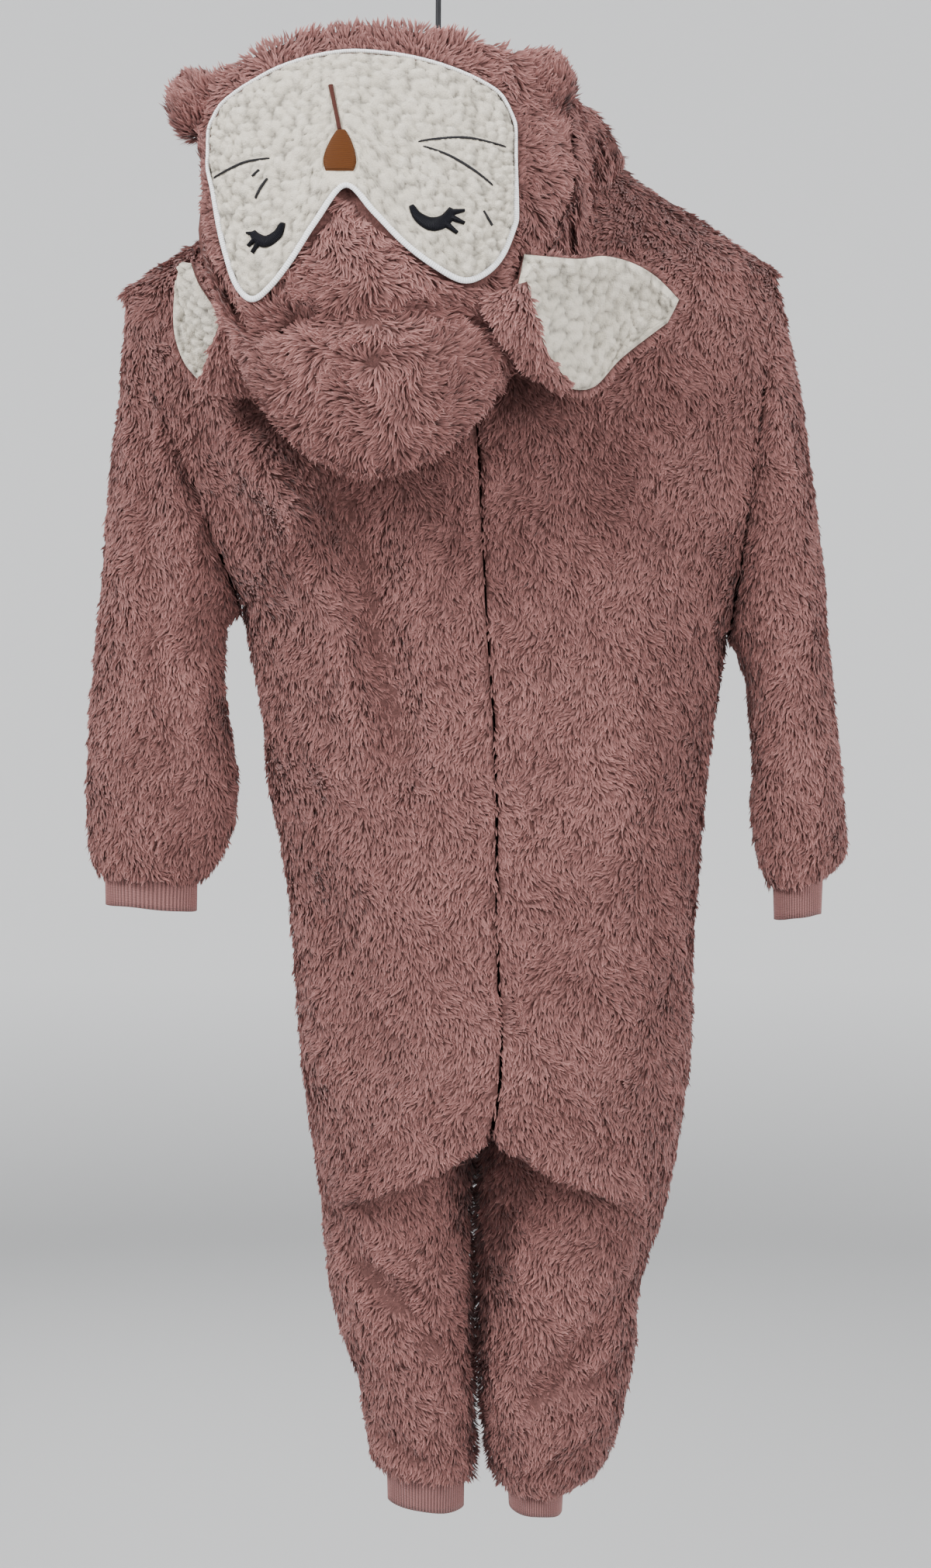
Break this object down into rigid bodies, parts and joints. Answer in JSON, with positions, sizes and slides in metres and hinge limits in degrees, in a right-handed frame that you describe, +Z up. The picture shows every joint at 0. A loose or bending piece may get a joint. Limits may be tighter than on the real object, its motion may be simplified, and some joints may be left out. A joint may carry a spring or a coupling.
{
  "type": "bunny onesie on a hanger",
  "caption": "Child's hooded plush onesie with a sleeping bunny face and ears on its hood, zipped front and rib cuffs, hanging on a plain hanger with the hood dropped down the back.",
  "frame": {"origin": "crown of the hanger's hook, on the inner side of the wire, where a rail carries it", "axes": "+Z up; the garment's back and the dropped hood face -Y, its zipped front faces +Y, +X to the right seen from the back"},
  "size_m": [0.5885, 0.3057, 1.2245],
  "materials": {
    "fur": "dusty rose curly plush with pointed locks",
    "sherpa": "cream sherpa, knobbly",
    "rib_knit": "rose rib knit",
    "black_stitch": "near-black satin stitch",
    "brown_stitch": "rust brown satin stitch",
    "white_stitch": "white satin stitch round the face",
    "zip_tape": "woven tape with a moulded chain",
    "zip_metal": "satin",
    "hanger_plastic": "black, satin",
    "hanger_wire": "black, satin"
  },
  "bodies": {
    "garment": {"back_left": "fur", "back_right": "fur", "front_left": "fur", "front_right": "fur", "sleeve_left": "fur", "sleeve_right": "fur", "hood_back": "fur", "hood_front": "fur", "ear_back_left": "fur", "ear_back_right": "fur", "face": "sherpa", "ear_lining_left": "sherpa", "ear_lining_right": "sherpa", "wrist_cuff_left": "rib_knit", "wrist_cuff_right": "rib_knit", "ankle_cuff_left": "rib_knit", "ankle_cuff_right": "rib_knit", "eye_left": "black_stitch", "eye_right": "black_stitch", "lash_left_1": "black_stitch", "lash_left_2": "black_stitch", "lash_left_3": "black_stitch", "lash_right_1": "black_stitch", "lash_right_2": "black_stitch", "lash_right_3": "black_stitch", "nose": "brown_stitch", "mouth": "brown_stitch", "zip_chain": "zip_tape", "zip_slider": "zip_metal", "hanger_arms": "hanger_plastic", "hanger_hook": "hanger_wire"},
    "pull_tab": {"zip_pull": "zip_metal"}
  },
  "joints": [
    {"name": "pull_swing", "type": "hinge", "parent": "garment", "child": "pull_tab", "pos_m": [0.024, 0.0796, -0.28], "axis": [1, 0, 0], "range_deg": [0, 150]}
  ]
}
